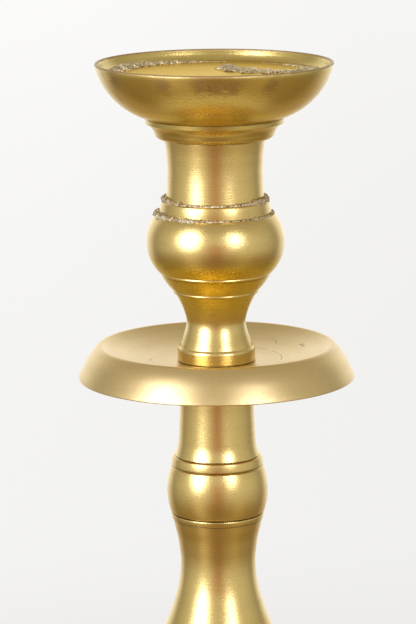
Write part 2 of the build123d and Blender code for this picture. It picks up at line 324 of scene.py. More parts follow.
def brass(name, colour=BRIGHT, stain=BROWN, rough=0.28, rings=1500, size=22, cover=0.3, seams=(),
          seam_reach=0.5, spots=(), lacquer=0.3, marks_depth=1.0, grain_depth=1.0, painted_warm_below=None):
    """Polished brass under thin lacquer. Seams are drops below the rim where grime has caught and
    shade is painted into the joint or groove; spots are stains, each x, y, drop and size in
    millimetres. The last argument is how far a face looks down, as its normal's Z, where a painted
    warm reflection begins and where it is full: a yellow tint standing for the warm light that
    faces looking down reflect from below."""
    material, tree, shader, _ = new_material(name)
    marks = grouped(tree, MARKS, rings)
    cloud = grouped(tree, CLOUDS, size, cover)
    grain = cloud.outputs["Grain"]
    streaks = ramp(tree, marks.outputs["Tone"], 0.35, 0.7)
    pores = ramp(tree, grain, 0.40, 0.64)
    worn = 0.0
    for mask, share in ((cloud.outputs["Mask"], 0.34), (cloud.outputs["Specks"], 0.20),
                        (streaks, 0.08), (pores, 0.10)):
        worn = maths(tree, "MULTIPLY_ADD", mask, share, worn)
    for x, y, drop, reach in spots:
        spot = grouped(tree, SPOTS, x * MM, y * MM, RIM_Z - drop * MM, reach * MM)
        worn = maths(tree, "MULTIPLY_ADD", spot.outputs[0], SPOT_SHARE, worn)
    shown = blend_colour(tree, maths(tree, "MINIMUM", worn, 1.0), colour, stain)
    # Painted reflection: faces that look down are tinted yellow, standing for the warm light they
    # reflect from below.
    if painted_warm_below:
        facing = put(tree, "SeparateXYZ", {0: put(tree, "TexCoord").outputs["Normal"]}).outputs[2]
        shown = blend_colour(tree, ramp(tree, facing, *painted_warm_below), shown, PAINTED_WARM_REFLECTION)
    # Painted shade with grime: at each seam the colour darkens towards the seam colour, standing
    # for grime and for the shade that falls into the joint or groove.
    dirt_and_shade = None
    for drop in seams:
        seam = grouped(tree, SEAMS, RIM_Z - drop * MM, seam_reach * MM)
        dirt_and_shade = seam.outputs[0] if dirt_and_shade is None else maths(tree, "MAXIMUM", dirt_and_shade, seam.outputs[0])
    if dirt_and_shade is not None:
        shown = blend_colour(tree, maths(tree, "MULTIPLY", dirt_and_shade, SEAM_DARK_SHARE), shown, SEAM_DIRT_AND_SHADE)
    tree.links.new(shown, shader.inputs["Base Color"])
    shader.inputs["Metallic"].default_value = 1.0
    dull = maths(tree, "MULTIPLY_ADD", worn, 0.30, rough - 0.05)
    dull = maths(tree, "MULTIPLY_ADD", marks.outputs["Height"], 0.05, dull)
    tree.links.new(dull, shader.inputs["Roughness"])
    shader.inputs["Coat Weight"].default_value = lacquer
    shader.inputs["Coat Roughness"].default_value = 0.18
    relief = maths(tree, "MULTIPLY_ADD", cloud.outputs["Specks"], -0.5,
                   maths(tree, "MULTIPLY", marks.outputs["Height"], marks_depth))
    relief = maths(tree, "MULTIPLY_ADD", grain, 1.1 * grain_depth, relief)
    bump = put(tree, "Bump", {"Height": relief, "Strength": 0.45, "Distance": 0.00006})
    tree.links.new(bump.outputs[0], shader.inputs["Normal"])
    return material


# Every section drops into the next by a spigot in a socket, and the rod clears its hole.
SOCKET_R, SPIGOT_R, ROD_HOLE_R = 10.1, 9.95, 4.5

dome_outline = [
    (SOCKET_R, 454.0), (50.9, 454.0), (50.9, 457.5), (53.4, 458.5),
    *arc((53.4, 458.5), (73.4, 469.0), (83.9, 489.0), 22)[1:], (87.4, 490.0), (87.4, 492.5),
    *arc((87.4, 492.5), (92.9, 495.2), (94.9, 500.5))[1:], (94.9, felt_top), (83.0, felt_top),
    (83.0, 497.0), *arc((79.5, 490.5), (71.0, 471.6), (50.0, 463.0), 12),
    (ROD_HOLE_R, 463.0), (ROD_HOLE_R, 457.6), (SOCKET_R, 457.6),
]
dome = turned("base_dome_casting", dome_outline, steps=256, arris=0.35)
dress(dome, brass("brass_base", rings=900, cover=0.34, seams=(458.6, 489.6, 454.2)),
      "stem", "turned_brass", "base_dome")

# Base stem -----------------------------------------------------------------------------------
# A hollow trumpet, cast and turned, that spreads from the lower knop to the seat on the base.
# Its spigot drops into the base, and the rod pulls the two together.

stem_outline = [
    (SOCKET_R, 386.0), (19.5, 386.0), (19.5, 388.0),
    *flow([(19.5, 388.0), (17.5, 396.0), (19.5, 414.0), (27.9, 434.0), (45.4, 449.5)], 10)[1:],
    (47.4, 450.0), (47.4, 453.95), (SPIGOT_R, 453.95), (SPIGOT_R, 457.0),
    (ROD_HOLE_R, 457.0), (ROD_HOLE_R, 449.0), (36.0, 447.5),
    *flow([(23.5, 434.0), (14.0, 408.0)], 6), (7.0, 400.0), (7.0, 389.6), (SOCKET_R, 389.6),
]
stem = turned("base_stem_trumpet", stem_outline, arris=0.3)
dress(stem, brass("brass_stem", cover=0.3, seams=(450.0, 388.0, 453.8)), "stem", "turned_brass",
      "base_stem")

# Lower knop ----------------------------------------------------------------------------------
# A flattened round knop between two fillets, with a hollowed neck, turned from one casting.
# It is cored to save brass, and its spigot drops into the base stem.

knop_outline = [
    (SOCKET_R, 350.05), (20.4, 350.05), (20.4, 352.0), (18.9, 352.6),
    *arc((18.9, 352.6), (16.3, 358.0), (19.4, 363.4), 12)[1:], (22.4, 363.6), (22.4, 365.4),
    (23.9, 365.8), *arc((23.9, 365.8), (31.4, 374.0), (23.9, 382.2), 20)[1:], (22.4, 382.6),
    (21.4, 385.95), (SPIGOT_R, 385.95), (SPIGOT_R, 389.0), (ROD_HOLE_R, 389.0),
    (ROD_HOLE_R, 380.0), (17.0, 377.0), (17.0, 371.0), (7.0, 367.0), (7.0, 353.6),
    (SOCKET_R, 353.6),
]
lower_knop = turned("lower_knop_disc", knop_outline, arris=0.25)
dress(lower_knop, brass("brass_lower_knop", seams=(352.4, 363.5, 365.6, 382.5, 385.9), cover=0.3),
      "stem", "turned_brass", "lower_knop")

# Vase collar ---------------------------------------------------------------------------------
# A loose half-round ring that covers the joint under the belly. Turned brass, slipped over the
# vase's long spigot and clamped between the vase and the lower knop.

collar_outline = [
    (SOCKET_R, 340.05), (24.0, 340.05), *arc((24.0, 340.05), (27.9, 345.0), (24.0, 349.95), 16)[1:],
    (SOCKET_R, 349.95),
]
collar = turned("vase_collar_ring", collar_outline, arris=0.2)
dress(collar, brass("brass_collar", seams=(340.1, 349.9)), "stem", "turned_brass", "vase_collar")

# Vase shaft ----------------------------------------------------------------------------------
# The longest casting: a concave neck that swells into a pear-shaped belly, thin-walled and
# turned all over outside.

vase_outline = [
    (SOCKET_R, 211.05),
    *flow([(20.6, 211.05), (19.8, 214.6), (18.45, 220.5), (17.25, 231.0), (18.15, 241.5),
           (20.65, 251.0), (24.5, 261.5), (30.7, 273.0), (35.9, 285.0), (37.9, 298.0),
           (35.5, 313.0), (29.5, 327.0), (22.9, 338.0)]),
    (22.9, 339.95), (SPIGOT_R, 339.95), (SPIGOT_R, 353.0), (ROD_HOLE_R, 353.0),
    (ROD_HOLE_R, 334.0), (19.0, 328.0),
    *flow([(31.4, 312.0), (34.0, 298.0), (26.0, 271.0), (14.5, 242.0)], 4), (13.5, 228.0),
    (7.0, 222.0), (7.0, 217.2), (SOCKET_R, 217.2),
]
vase = turned("vase_shaft_casting", vase_outline, arris=0.2)
dress(vase, brass("brass_vase", rings=1300, cover=0.32, seams=(211.2, 339.6), seam_reach=0.35),
      "stem", "turned_brass", "vase_shaft")

# Knop ring and barrel knop -------------------------------------------------------------------
# The barrel has a plain band above it, parted off by a fine groove; a loose ring sits below.
# Both are bar brass, turned and slipped over the rod.

ring_outline = [
    (SOCKET_R, 208.25), (21.1, 208.25), (21.4, 208.8), (21.1, 210.5), (20.75, 210.95),
    (SOCKET_R, 210.95),
]
knop_ring = turned("knop_ring_turned", ring_outline, arris=0.15)
dress(knop_ring, brass("brass_knop_ring", seams=(208.3,), seam_reach=0.35), "stem",
      "turned_brass", "knop_ring")

barrel_outline = [
    (SOCKET_R, 181.25), (20.2, 181.25), (20.65, 181.8), (21.15, 185.2), (20.7, 185.8),
    (21.4, 186.4), *arc((21.4, 186.4), (23.25, 197.2), (21.65, 207.4), 22)[1:], (20.9, 208.15),
    (SPIGOT_R, 208.15), (SPIGOT_R, 216.6), (ROD_HOLE_R, 216.6), (ROD_HOLE_R, 203.0),
    (14.0, 199.0), (14.0, 191.0), (7.0, 187.0), (7.0, 184.8), (SOCKET_R, 184.8),
]
barrel = turned("shaft_knop_barrel", barrel_outline, arris=0.1)
dress(barrel, brass("brass_barrel", seams=(185.8, 208.1), seam_reach=0.35, cover=0.36), "stem",
      "turned_brass", "shaft_knop")

# Upper shaft ---------------------------------------------------------------------------------
# A hollow column with a flange under the pan, and a slight flare where it meets the knop.
# Cast brass, turned outside; its spigot drops into the barrel knop.

shaft_outline = [
    (SOCKET_R, 138.45), (20.4, 138.45), (20.4, 141.0),
    *arc((20.4, 141.0), (18.05, 144.4), (17.05, 150.0), 8)[1:],
    *flow([(17.05, 150.0), (17.05, 160.0), (17.55, 171.0), (18.05, 176.5), (19.45, 181.15)])[1:],
    (SPIGOT_R, 181.15), (SPIGOT_R, 184.2), (ROD_HOLE_R, 184.2), (ROD_HOLE_R, 175.0),
    (13.0, 170.0), (13.0, 152.0), (7.0, 147.0), (7.0, 142.0), (SOCKET_R, 142.0),
]
shaft = turned("upper_shaft_column", shaft_outline, arris=0.1)
dress(shaft, brass("brass_shaft", seams=(181.1,), seam_reach=0.3), "stem", "turned_brass",
      "upper_shaft")

# Drip pan ------------------------------------------------------------------------------------
# Sheet brass spun over a former: a flat seat, a shallow dish and a skirt turned down outside.
# It is clamped between globe and shaft, and its top is scuffed where wax was scraped off.

PAN_COLOUR = (0.85, 0.645, 0.28, 1)


def scratch_group():
    """One curved scratch on a flat face: part of a circle, broken along its length."""
    tree = bpy.data.node_groups.new("scratch", "ShaderNodeTree")
    for name in ("Centre X", "Centre Y", "Radius", "Width", "Side"):
        tree.interface.new_socket(name, in_out="INPUT", socket_type="NodeSocketFloat")
    tree.interface.new_socket("Mask", in_out="OUTPUT", socket_type="NodeSocketFloat")
    given = tree.nodes.new("NodeGroupInput").outputs
    made = tree.nodes.new("NodeGroupOutput").inputs
    spot = put(tree, "TexCoord").outputs["Object"]
    place = put(tree, "SeparateXYZ", {0: spot}).outputs
    dx = maths(tree, "SUBTRACT", place[0], given["Centre X"])
    dy = maths(tree, "SUBTRACT", place[1], given["Centre Y"])
    span = maths(tree, "SQRT", maths(tree, "ADD", maths(tree, "MULTIPLY", dx, dx),
                                     maths(tree, "MULTIPLY", dy, dy)))
    gap = maths(tree, "ABSOLUTE", maths(tree, "SUBTRACT", span, given["Radius"]))
    off = maths(tree, "DIVIDE", gap, given["Width"])
    line = maths(tree, "SUBTRACT", 1.0, ramp(tree, off, 0.3, 1.0))
    bearing = maths(tree, "DIVIDE", maths(tree, "ADD", dx, maths(tree, "MULTIPLY", dy, 0.45)), span)
    part = ramp(tree, maths(tree, "MULTIPLY", bearing, given["Side"]), 0.55, 0.75)
    broken = put(tree, "TexNoise", {"Vector": spot, "Scale": 190, "Detail": 2}).outputs[0]
    part = maths(tree, "MULTIPLY", part, ramp(tree, broken, 0.36, 0.5))
    tree.links.new(maths(tree, "MULTIPLY", line, part), made["Mask"])
    return tree


SCRATCH = scratch_group()
PAN_SCRATCHES = (  # centre x, centre y, radius and width, and which side of the circle shows
    (1.7, -0.8, 28.2, 0.35, 1), (36.8, 12.5, 3.4, 1.2, 1), (-24, -6, 7, 0.3, -1),
    (-17, -4, 13, 0.25, -1), (22, 26, 6, 0.25, 1),
)
SCRATCH_SHARE = 0.75


def pan_brass():
    """Satin spun brass, scuffed on top."""
    material = brass("brass_pan", colour=PAN_COLOUR, rough=0.34, rings=1100, size=30, cover=0.26,
                     lacquer=0.2, marks_depth=0.7, grain_depth=1.8)
    tree = material.node_tree
    shader = tree.nodes["Principled BSDF"]
    mask = 0.0
    for x, y, radius, width, side in PAN_SCRATCHES:
        scratch = grouped(tree, SCRATCH, x * MM, y * MM, radius * MM, width * MM, side)
        mask = maths(tree, "MAXIMUM", mask, scratch.outputs[0])
    clean = shader.inputs["Base Color"].links[0].from_socket
    scuffed = blend_colour(tree, maths(tree, "MULTIPLY", mask, SCRATCH_SHARE), clean, BROWN)
    tree.links.new(scuffed, shader.inputs["Base Color"])
    return material


pan_outline = [
    (SOCKET_R, 136.65), (19.5, 136.65),
    *arc((19.5, 136.65), (37.0, 134.45), (51.5, 129.75), 14)[1:],
    *arc((51.5, 129.75), (53.3, 129.35), (54.9, 130.2), 8)[1:],
    *flow([(54.9, 130.2), (57.1, 132.7), (59.2, 135.8), (61.2, 139.6), (62.5, 142.4),
           (63.2, 144.2)], 5)[1:],
    (62.9, 144.55), (61.5, 144.55),
    *arc((61.5, 144.55), (57.9, 137.6), (53.7, 131.8), 14)[1:],
    *arc((53.7, 131.8), (52.9, 131.35), (52.0, 131.5), 5)[1:],
    *arc((52.0, 131.5), (37.4, 136.15), (19.5, 138.35), 12)[1:], (SOCKET_R, 138.35),
]
pan = turned("drip_pan_spun", pan_outline, steps=256, arris=0.25)
dress(pan, pan_brass(), "stem", "sheet_brass", "drip_pan")

# Globe baluster ------------------------------------------------------------------------------
# One casting: a globe cut off flat on top, two turned steps below it, a slender waist and a
# collar for a foot. The pan is gripped under the collar.

globe_outline = [
    (SOCKET_R, 68.95), *arc((27.1, 68.95), (31.55, 81.5), (26.1, 95.2), 26), (25.2, 95.5),
    (25.45, 96.0), (24.9, 96.5), *arc((24.9, 96.5), (22.35, 100.7), (19.5, 103.9), 10)[1:],
    (19.75, 104.3), (19.6, 104.9), (18.45, 105.4),
    *flow([(18.45, 105.4), (15.85, 110.6), (14.05, 115.4), (13.5, 118.8), (14.0, 122.1),
           (15.1, 125.5), (16.25, 128.4), (16.8, 129.9)], 6)[1:],
    *arc((16.8, 129.9), (17.55, 130.9), (17.75, 132.4), 6)[1:], (17.75, 136.45),
    (SPIGOT_R, 136.45), (SPIGOT_R, 141.4), (ROD_HOLE_R, 141.4), (ROD_HOLE_R, 109.0), (9.0, 104.0),
    *arc((22.5, 93.9), (28.2, 81.5), (27.0, 75.5), 10), (7.0, 75.5), (7.0, 72.5),
    (SOCKET_R, 72.5),
]
globe = turned("globe_baluster_casting", globe_outline, arris=0.12)
GLOBE_SPOTS = ((-1.2, -14.1, 112.6, 3.4), (-25.8, -14.5, 89.8, 6.5), (-5.0, -24.6, 97.4, 2.0))
# Its faces that look down get the painted warm reflection, and its joints grime with painted shade.
dress(globe, brass("brass_globe", seams=(96.9, 136.5), seam_reach=0.3, cover=0.34, size=26,
                   spots=GLOBE_SPOTS, painted_warm_below=(-0.20, -0.50)),
      "stem", "turned_brass", "globe_baluster")

# Neck ring and its solder --------------------------------------------------------------------
# A loose turned band over the spigot between neck and globe. Soft solder was run round above
# and below it and never filed off, so it stands in rough grey beads.

SOLDER = (0.70, 0.61, 0.40, 1)
SOLDER_HOLLOWS = (0.16, 0.10, 0.05, 1)
BURNT_FLUX = (0.62, 0.47, 0.24, 1)
BEAD_SIDES = 10


def rough_solder(name, colour, hollows):
    """Soft solder with burnt flux in its hollows, coarse and glittering."""
    material, tree, shader, _ = new_material(name)
    place = put(tree, "TexCoord").outputs["Object"]
    lumps = put(tree, "TexNoise", {"Vector": place, "Scale": 1100, "Detail": 4,
                                   "Roughness": 0.7}).outputs[0]
    burnt = put(tree, "TexNoise", {"Vector": place, "Scale": 330, "Detail": 3}).outputs[0]
    colour = blend_colour(tree, ramp(tree, burnt, 0.45, 0.65), colour, BURNT_FLUX)
    colour = blend_colour(tree, ramp(tree, lumps, 0.49, 0.37), colour, hollows)
    tree.links.new(colour, shader.inputs["Base Color"])
    shader.inputs["Metallic"].default_value = 0.85
    tree.links.new(maths(tree, "MULTIPLY_ADD", burnt, 0.4, 0.22), shader.inputs["Roughness"])
    bump = put(tree, "Bump", {"Height": lumps, "Strength": 1.0, "Distance": 0.0005})
    tree.links.new(bump.outputs[0], shader.inputs["Normal"])
    return material


def bead(name, radius, drop, size, seed, steps, fullness, start=0.0, sweep=360.0,
         centre=(0.0, 0.0), flat=1.0):
    """A rough bead of solder run round a centre, its sizes in millimetres; fullness gives its
    thickness at each bearing in degrees, and flat how far it has slumped."""
    mesh = bmesh.new()
    middle = Vector((centre[0] * MM, centre[1] * MM, RIM_Z - drop * MM))
    circle = bmesh.ops.create_circle(mesh, segments=BEAD_SIDES, radius=size * MM)["verts"]
    upright = Matrix.Rotation(math.pi / 2, 3, "X")
    begin = Matrix.Rotation(math.radians(start), 3, "Z")
    bmesh.ops.rotate(mesh, verts=circle, cent=(0, 0, 0), matrix=upright)
    bmesh.ops.translate(mesh, verts=circle, vec=middle + Vector((radius * MM, 0, 0)))
    bmesh.ops.rotate(mesh, verts=circle, cent=middle, matrix=begin)
    bmesh.ops.spin(mesh, geom=circle + mesh.edges[:], axis=(0, 0, 1), cent=middle,
                   angle=math.radians(sweep), steps=steps, use_merge=sweep >= 360)
    bmesh.ops.remove_doubles(mesh, verts=mesh.verts, dist=SAME_POINT)
    bmesh.ops.holes_fill(mesh, edges=mesh.edges, sides=0)
    for v in mesh.verts:
        flat_place = Vector((v.co.x - middle.x, v.co.y - middle.y, 0))
        core = middle + flat_place.normalized() * radius * MM
        bearing = math.degrees(math.atan2(flat_place.y, flat_place.x)) % 360
        coarse = noise.noise(core * 300 + Vector((seed, 0, 0)))
        fine = noise.noise(v.co * 1100 + Vector((0, seed, 0))) + 0.6 * noise.noise(v.co * 2400)
        grown = fullness(bearing) * (1 + 0.75 * coarse + 0.65 * fine)
        spread = v.co - core
        spread.z *= flat
        v.co = core + spread * max(grown, 0.03)
    bmesh.ops.recalc_face_normals(mesh, faces=mesh.faces)
    return finished(name, mesh, math.radians(60))


def sides_heavy(bearing):
    """Thin at the front and back of the ring, full at its sides."""
    return 0.42 + 0.9 * abs(math.cos(math.radians(bearing))) ** 1.5


def left_heavy(bearing):
    """Heavy round the left and the front left, lighter elsewhere."""
    left = max(0.0, math.cos(math.radians(bearing - 205)))
    return 0.55 + 0.75 * left ** 2 + 0.25 * abs(math.cos(math.radians(bearing)))


band_outline = [
    (SOCKET_R, 62.65), (23.7, 62.65), *arc((23.7, 62.65), (24.4, 62.95), (24.65, 63.6), 4)[1:],
    (25.6, 68.2), *arc((25.6, 68.2), (25.4, 68.7), (24.9, 68.87), 4)[1:], (SOCKET_R, 68.87),
]
band = turned("neck_ring_band", band_outline, arris=0.08)
dress(band, brass("brass_neck_ring", cover=0.5, size=60), "stem",
      "turned_brass", "neck_ring")

solder = rough_solder("solder_grey", SOLDER, SOLDER_HOLLOWS)
upper_bead = bead("solder_over_ring", 22.8, 62.5, 1.05, 3, 520, sides_heavy)
dress(upper_bead, solder, "stem", "steel")
lower_bead = bead("solder_under_ring", 26.0, 69.1, 1.08, 11, 560, left_heavy)
dress(lower_bead, solder, "stem", "steel")

# Neck sleeve ---------------------------------------------------------------------------------
# A slightly waisted tube with a web inside near its foot. The plug of the cup drops into it.
# Turned brass, held down by the nut that sits on the web.

NECK_BORE_R = 18.0
sleeve_outline = [
    *flow([(22.95, 34.45), (22.15, 40.8), (21.7, 50.0), (22.25, 62.55)], 8),
    (SPIGOT_R, 62.55), (SPIGOT_R, 71.8), (ROD_HOLE_R, 71.8), (ROD_HOLE_R, 57.6),
    (NECK_BORE_R, 57.6), (NECK_BORE_R, 34.45),
]
sleeve = turned("neck_sleeve_tube", sleeve_outline, arris=0.15)
dress(sleeve, brass("brass_neck", seams=(34.5,), cover=0.3, size=30), "stem",
      "turned_brass", "neck_sleeve")

# Tie rod, washers and nuts -------------------------------------------------------------------
# An M8 rod, zinc plated and threaded at both ends, runs down the middle of the stack. The top
# nut sits on the web in the neck; a wide washer, a spring washer and a nut pull up under the base.

THREAD_PITCH = 1.25
THREAD_TURNS = 14
STEPS_PER_TURN = 32
CORE_R, CORE_END_R, ROOT_R, CREST_R = 3.45, 2.9, 3.35, 3.95
ON_AXIS = 0.0001


def zinc():
    """Bright zinc plate, dulled in patches."""
    material, tree, shader, _ = new_material("zinc_plate")
    place = put(tree, "TexCoord").outputs["Object"]
    patches = put(tree, "TexNoise", {"Vector": place, "Scale": 160, "Detail": 4}).outputs[0]
    colour = blend_colour(tree, patches, (0.62, 0.63, 0.64, 1), (0.36, 0.35, 0.33, 1))
    tree.links.new(colour, shader.inputs["Base Color"])
    shader.inputs["Metallic"].default_value = 1.0
    tree.links.new(maths(tree, "MULTIPLY_ADD", patches, 0.3, 0.2), shader.inputs["Roughness"])
    bump = put(tree, "Bump", {"Height": patches, "Strength": 0.2, "Distance": 0.0001})
    tree.links.new(bump.outputs[0], shader.inputs["Normal"])
    return material


def drop_of(node, side):
    """The drop below the rim of a CAD node's underside (0) or top (1)."""
    return (RIM_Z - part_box(node)[side].z) / MM


def threaded_rod(top, foot):
    """A plain core with a helical thread wound on each end."""
    mesh = bmesh.new()
    points = placed(mesh, [(ON_AXIS, top), (CORE_END_R, top), (CORE_R, top + 0.6),
                           (CORE_R, foot - 0.6), (CORE_END_R, foot), (ON_AXIS, foot)])
    edges = [mesh.edges.new(pair) for pair in zip(points, points[1:])]
    bmesh.ops.spin(mesh, geom=points + edges, axis=(0, 0, 1), cent=(0, 0, 0), angle=math.tau,
                   steps=48, use_merge=True)
    for start in (top + 0.7, foot - 0.9 - THREAD_TURNS * THREAD_PITCH):
        tooth = placed(mesh, [(ROOT_R, start), (CREST_R, start + 0.5), (CREST_R, start + 0.65),
                              (ROOT_R, start + 1.1)])
        sides = [mesh.edges.new(pair) for pair in zip(tooth, tooth[1:] + tooth[:1])]
        bmesh.ops.spin(mesh, geom=tooth + sides, axis=(0, 0, 1), cent=(0, 0, 0),
                       angle=math.tau * THREAD_TURNS, steps=STEPS_PER_TURN * THREAD_TURNS,
                       dvec=(0, 0, -THREAD_PITCH * MM / STEPS_PER_TURN))
    bmesh.ops.remove_doubles(mesh, verts=mesh.verts, dist=SAME_POINT)
    bmesh.ops.holes_fill(mesh, edges=mesh.edges, sides=4)
    bmesh.ops.recalc_face_normals(mesh, faces=mesh.faces)
    return finished("tie_rod_threaded", mesh, math.radians(30))


def hex_nut(name, top, foot):
    """A chamfered hexagon nut, 13 mm across its flats."""
    flats, chamfer_r, thread_r = 6.5, 6.35, 4.02
    outline = [(thread_r, top), (chamfer_r, top), (flats, top + 0.45), (flats, foot - 0.45),
               (chamfer_r, foot), (thread_r, foot)]
    nut = turned(name, outline, steps=72, arris=0)
    for v in nut.data.vertices:
        if v.co.xy.length > (flats - 0.01) * MM:
            turn = (math.atan2(v.co.y, v.co.x) + math.pi / 6) % (math.pi / 3) - math.pi / 6
            v.co.xy /= math.cos(turn)
    nut.data.set_sharp_from_angle(angle=math.radians(24))
    return nut


def flat_washer(name, radius, top, foot):
    """A stamped washer with its edges broken."""
    outline = [(ROD_HOLE_R, top), (radius, top), (radius, foot), (ROD_HOLE_R, foot)]
    return turned(name, outline, steps=96, arris=0.3)


plated = zinc()
rod = threaded_rod(drop_of("tie_rod", 1), drop_of("tie_rod", 0))
dress(rod, plated, "stem", "steel", "tie_rod")
for node in ("top_nut", "base_nut"):
    dress(hex_nut(node + "_hex", drop_of(node, 1), drop_of(node, 0)), plated, "stem", "steel", node)
for node, radius in (("top_washer", 8.0), ("base_washer", 20.0)):
    washer = flat_washer(node + "_disc", radius, drop_of(node, 1), drop_of(node, 0))
    dress(washer, plated, "stem", "steel", node)

SPRING_INNER_R, SPRING_OUTER_R = 4.55, 6.95
SPRING_GAP = 16
spring_top, spring_foot = drop_of("spring_washer", 1), drop_of("spring_washer", 0)
spring = bmesh.new()
corners = placed(spring, [(SPRING_INNER_R, spring_top), (SPRING_OUTER_R, spring_top),
                          (SPRING_OUTER_R, spring_foot), (SPRING_INNER_R, spring_foot)])
spring_end = spring.faces.new(corners)
half_gap = Matrix.Rotation(math.radians(SPRING_GAP / 2), 3, "Z")
bmesh.ops.rotate(spring, verts=corners, cent=(0, 0, 0), matrix=half_gap)
bmesh.ops.spin(spring, geom=[spring_end, *spring_end.edges, *corners], axis=(0, 0, 1),
               cent=(0, 0, 0), angle=math.radians(360 - SPRING_GAP), steps=60)
bmesh.ops.recalc_face_normals(spring, faces=spring.faces)
spring_ring = finished("spring_washer_split", spring, math.radians(30))
dress(spring_ring, plated, "stem", "steel", "spring_washer")

# Candle cup ----------------------------------------------------------------------------------
# A cast bowl with a stepped foot and a plug below it, turned inside and out. The casting's
# pores show through the polish on the wall of the bowl. It lifts out of the neck.

CUP_COLOUR = (0.80, 0.62, 0.19, 1)
CUP_STAIN = (0.32, 0.17, 0.06, 1)
CUP_SPOTS = ((-22.5, -48.0, 5.2, 10), (-6.0, -52.2, 5.0, 10), (1.0, -52.8, 6.2, 9),
             (8.0, -52.0, 5.4, 9), (25.0, -46.0, 5.4, 9), (-44.0, -29.0, 5.0, 11))
LIP_COLOUR = (0.36, 0.22, 0.12, 1)
LIP_DROP, LIP_REACH, LIP_SHARE = 0.3, 0.8, 0.65


def cup_brass():
    """Polished casting, browner and more porous than the turned sections, its lip worn dull."""
    # The bowl's downward faces get the painted warm reflection, and its step and foot joint grime
    # with painted shade.
    material = brass("brass_cup", colour=CUP_COLOUR, stain=CUP_STAIN, rough=0.27, rings=1000,
                     size=34, cover=0.42, seams=(24.9, 34.3), spots=CUP_SPOTS, grain_depth=1.5,
                     painted_warm_below=(-0.74, -0.84))
    tree = material.node_tree
    shader = tree.nodes["Principled BSDF"]
    rim = grouped(tree, SEAMS, RIM_Z - LIP_DROP * MM, LIP_REACH * MM)
    lip = maths(tree, "MULTIPLY", rim.outputs[0], LIP_SHARE)
    clean = shader.inputs["Base Color"].links[0].from_socket
    tree.links.new(blend_colour(tree, lip, clean, LIP_COLOUR), shader.inputs["Base Color"])
    dull = shader.inputs["Roughness"].links[0].from_socket
    tree.links.new(maths(tree, "MULTIPLY_ADD", lip, 0.45, dull), shader.inputs["Roughness"])
    return material


cup_outline = [
    *arc((52.65, 0.7), (53.3, 0.03), (53.95, 0.7), 8), (53.95, 1.3),
    *arc((53.95, 1.3), (46.85, 14.7), (32.35, 24.5), 26)[1:], (31.55, 25.1), (31.55, 27.2),
    *arc((31.55, 27.2), (28.85, 29.0), (27.55, 31.4), 8)[1:],
    *arc((27.55, 31.4), (26.65, 33.3), (24.75, 34.35), 8)[1:],
    (17.9, 34.35), (17.9, 44.5), (17.1, 45.3), (14.5, 45.3), (14.5, 31.5), (20.0, 30.0),
    *arc((24.0, 23.6), (35.0, 20.5), (44.9, 12.9), 10), (41.5, 9.5), (41.5, 6.8), (44.0, 6.8),
    (44.0, 5.2),
    *flow([(44.0, 5.2), (49.0, 5.1), (50.8, 4.3), (51.7, 3.0), (52.2, 1.8), (52.65, 0.7)], 6)[1:-1],
]
cup = turned("candle_cup_bowl", cup_outline, steps=256, arris=0.12)
dress(cup, cup_brass(), "cup", "cup_brass", "candle_cup")

# Cup floor -----------------------------------------------------------------------------------
# A disc of sheet brass let into the bowl for the candle to stand on, dull and never polished.
# It is soldered round its edge, and an old splash of solder crosses it at the back.

FLOOR_COLOUR = (0.76, 0.575, 0.175, 1)
FLOOR_TINT = (0.95, 0.81, 0.45, 1)
WAXED_SOLDER = (1.0, 0.86, 0.52, 1)
WAXED_HOLLOWS = (0.36, 0.25, 0.11, 1)
FLOOR_TOP, FLOOR_FOOT, FLOOR_R = 5.2, 6.8, 43.97
SPLASH_START, SPLASH_SWEEP = 150, 205

floor_outline = [(0.02, FLOOR_TOP), (FLOOR_R, FLOOR_TOP), (FLOOR_R, FLOOR_FOOT), (0.02, FLOOR_FOOT)]
floor_disc = turned("cup_floor_disc", floor_outline, arris=0.0)
dull_brass = brass("brass_cup_floor", colour=FLOOR_COLOUR, rough=0.34, rings=500, size=40,
                   cover=0.5, lacquer=0.0)
dull_shader = dull_brass.node_tree.nodes["Principled BSDF"]
dull_shader.inputs["Specular Tint"].default_value = FLOOR_TINT
dress(floor_disc, dull_brass, "cup", "cup_floor_brass", "cup_floor")


def edge_run(bearing):
    """Solder round the floor's edge: heavy at the back left, lighter at the right."""
    back_left = max(0.0, math.cos(math.radians(bearing - 152)))
    right = max(0.0, math.cos(math.radians(bearing - 20)))
    return 0.02 + 1.15 * back_left ** 2.2 + 0.45 * right ** 6


def splash_run(bearing):
    """The splash tapers to nothing at its two ends."""
    along = (bearing - SPLASH_START) % 360 / SPLASH_SWEEP
    return 0.15 + 0.95 * max(0.0, math.sin(math.pi * min(along, 1.0))) ** 0.6


floor_bead = bead("solder_round_floor", 45.4, 5.35, 3.3, 21, 620, edge_run, flat=0.50)
crust = rough_solder("solder_waxed", WAXED_SOLDER, WAXED_HOLLOWS)
dress(floor_bead, crust, "cup", "steel")
splash = bead("solder_splash", 20.5, 5.3, 4.3, 33, 300, splash_run, start=SPLASH_START,
              sweep=SPLASH_SWEEP, centre=(26, 23), flat=0.28)
dress(splash, crust, "cup", "steel")

# Studio --------------------------------------------------------------------------------------
# A plain pale floor, white behind and dim in front, with two soft boxes in front of the
# candlestick, the larger one on the left.

PAPER = (0.905, 0.898, 0.885, 1)
PAPER_R = 14
PAPER_GAP = 0.0002


